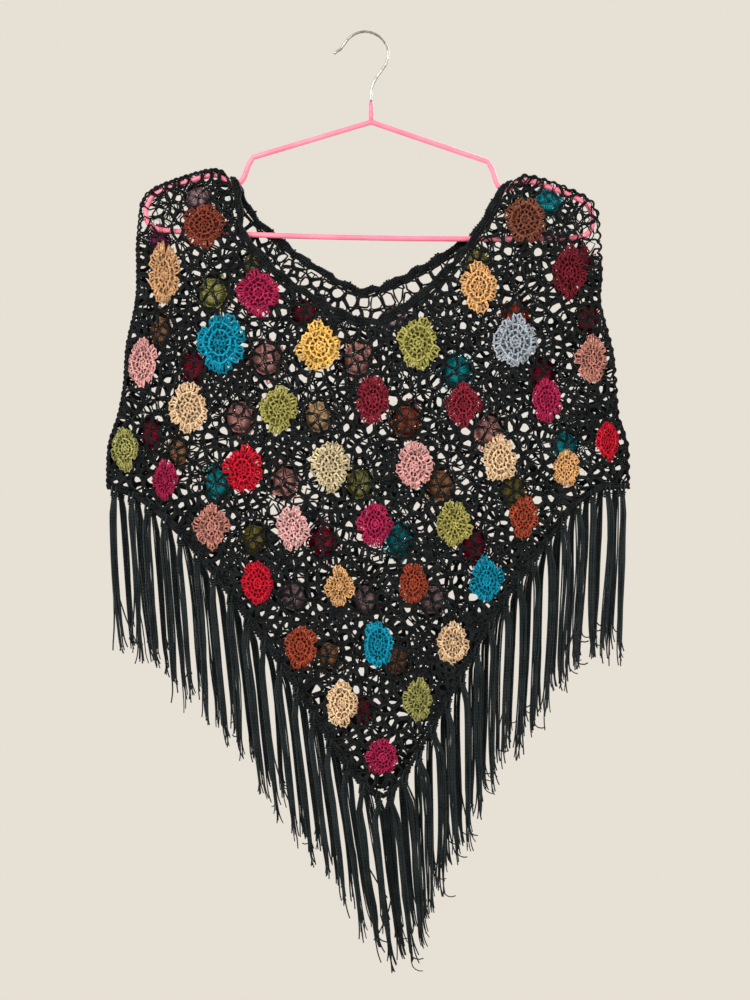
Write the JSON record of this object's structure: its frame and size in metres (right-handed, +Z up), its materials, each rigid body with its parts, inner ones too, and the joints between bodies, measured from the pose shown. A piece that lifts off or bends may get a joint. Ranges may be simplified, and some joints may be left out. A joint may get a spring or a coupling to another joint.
{
  "type": "crochet poncho on a wire hanger",
  "caption": "Black crochet net poncho covered in small coloured crochet flowers, with a long yarn fringe, hanging on a coated wire hanger.",
  "frame": {"origin": "inside the top of the hook's crook, the point that rests on a rail or a peg", "axes": "+X is to the right of someone who faces the front, +Y is from front to back, +Z is up"},
  "size_m": [0.4682, 0.0331, 0.8417],
  "materials": {
    "black_yarn": "satin",
    "motif_yarn": "matte",
    "pink_coating": "gloss",
    "steel_wire": "satin"
  },
  "bodies": {
    "root": {"front_panel": "black_yarn", "back_panel": "black_yarn", "front_neck_edge": "black_yarn", "back_neck_edge": "black_yarn", "front_fringe_left": "black_yarn", "front_fringe_right": "black_yarn", "back_fringe_left": "black_yarn", "back_fringe_right": "black_yarn", "hanger_frame": "pink_coating", "hanger_hook": "steel_wire"}
  },
  "joints": []
}
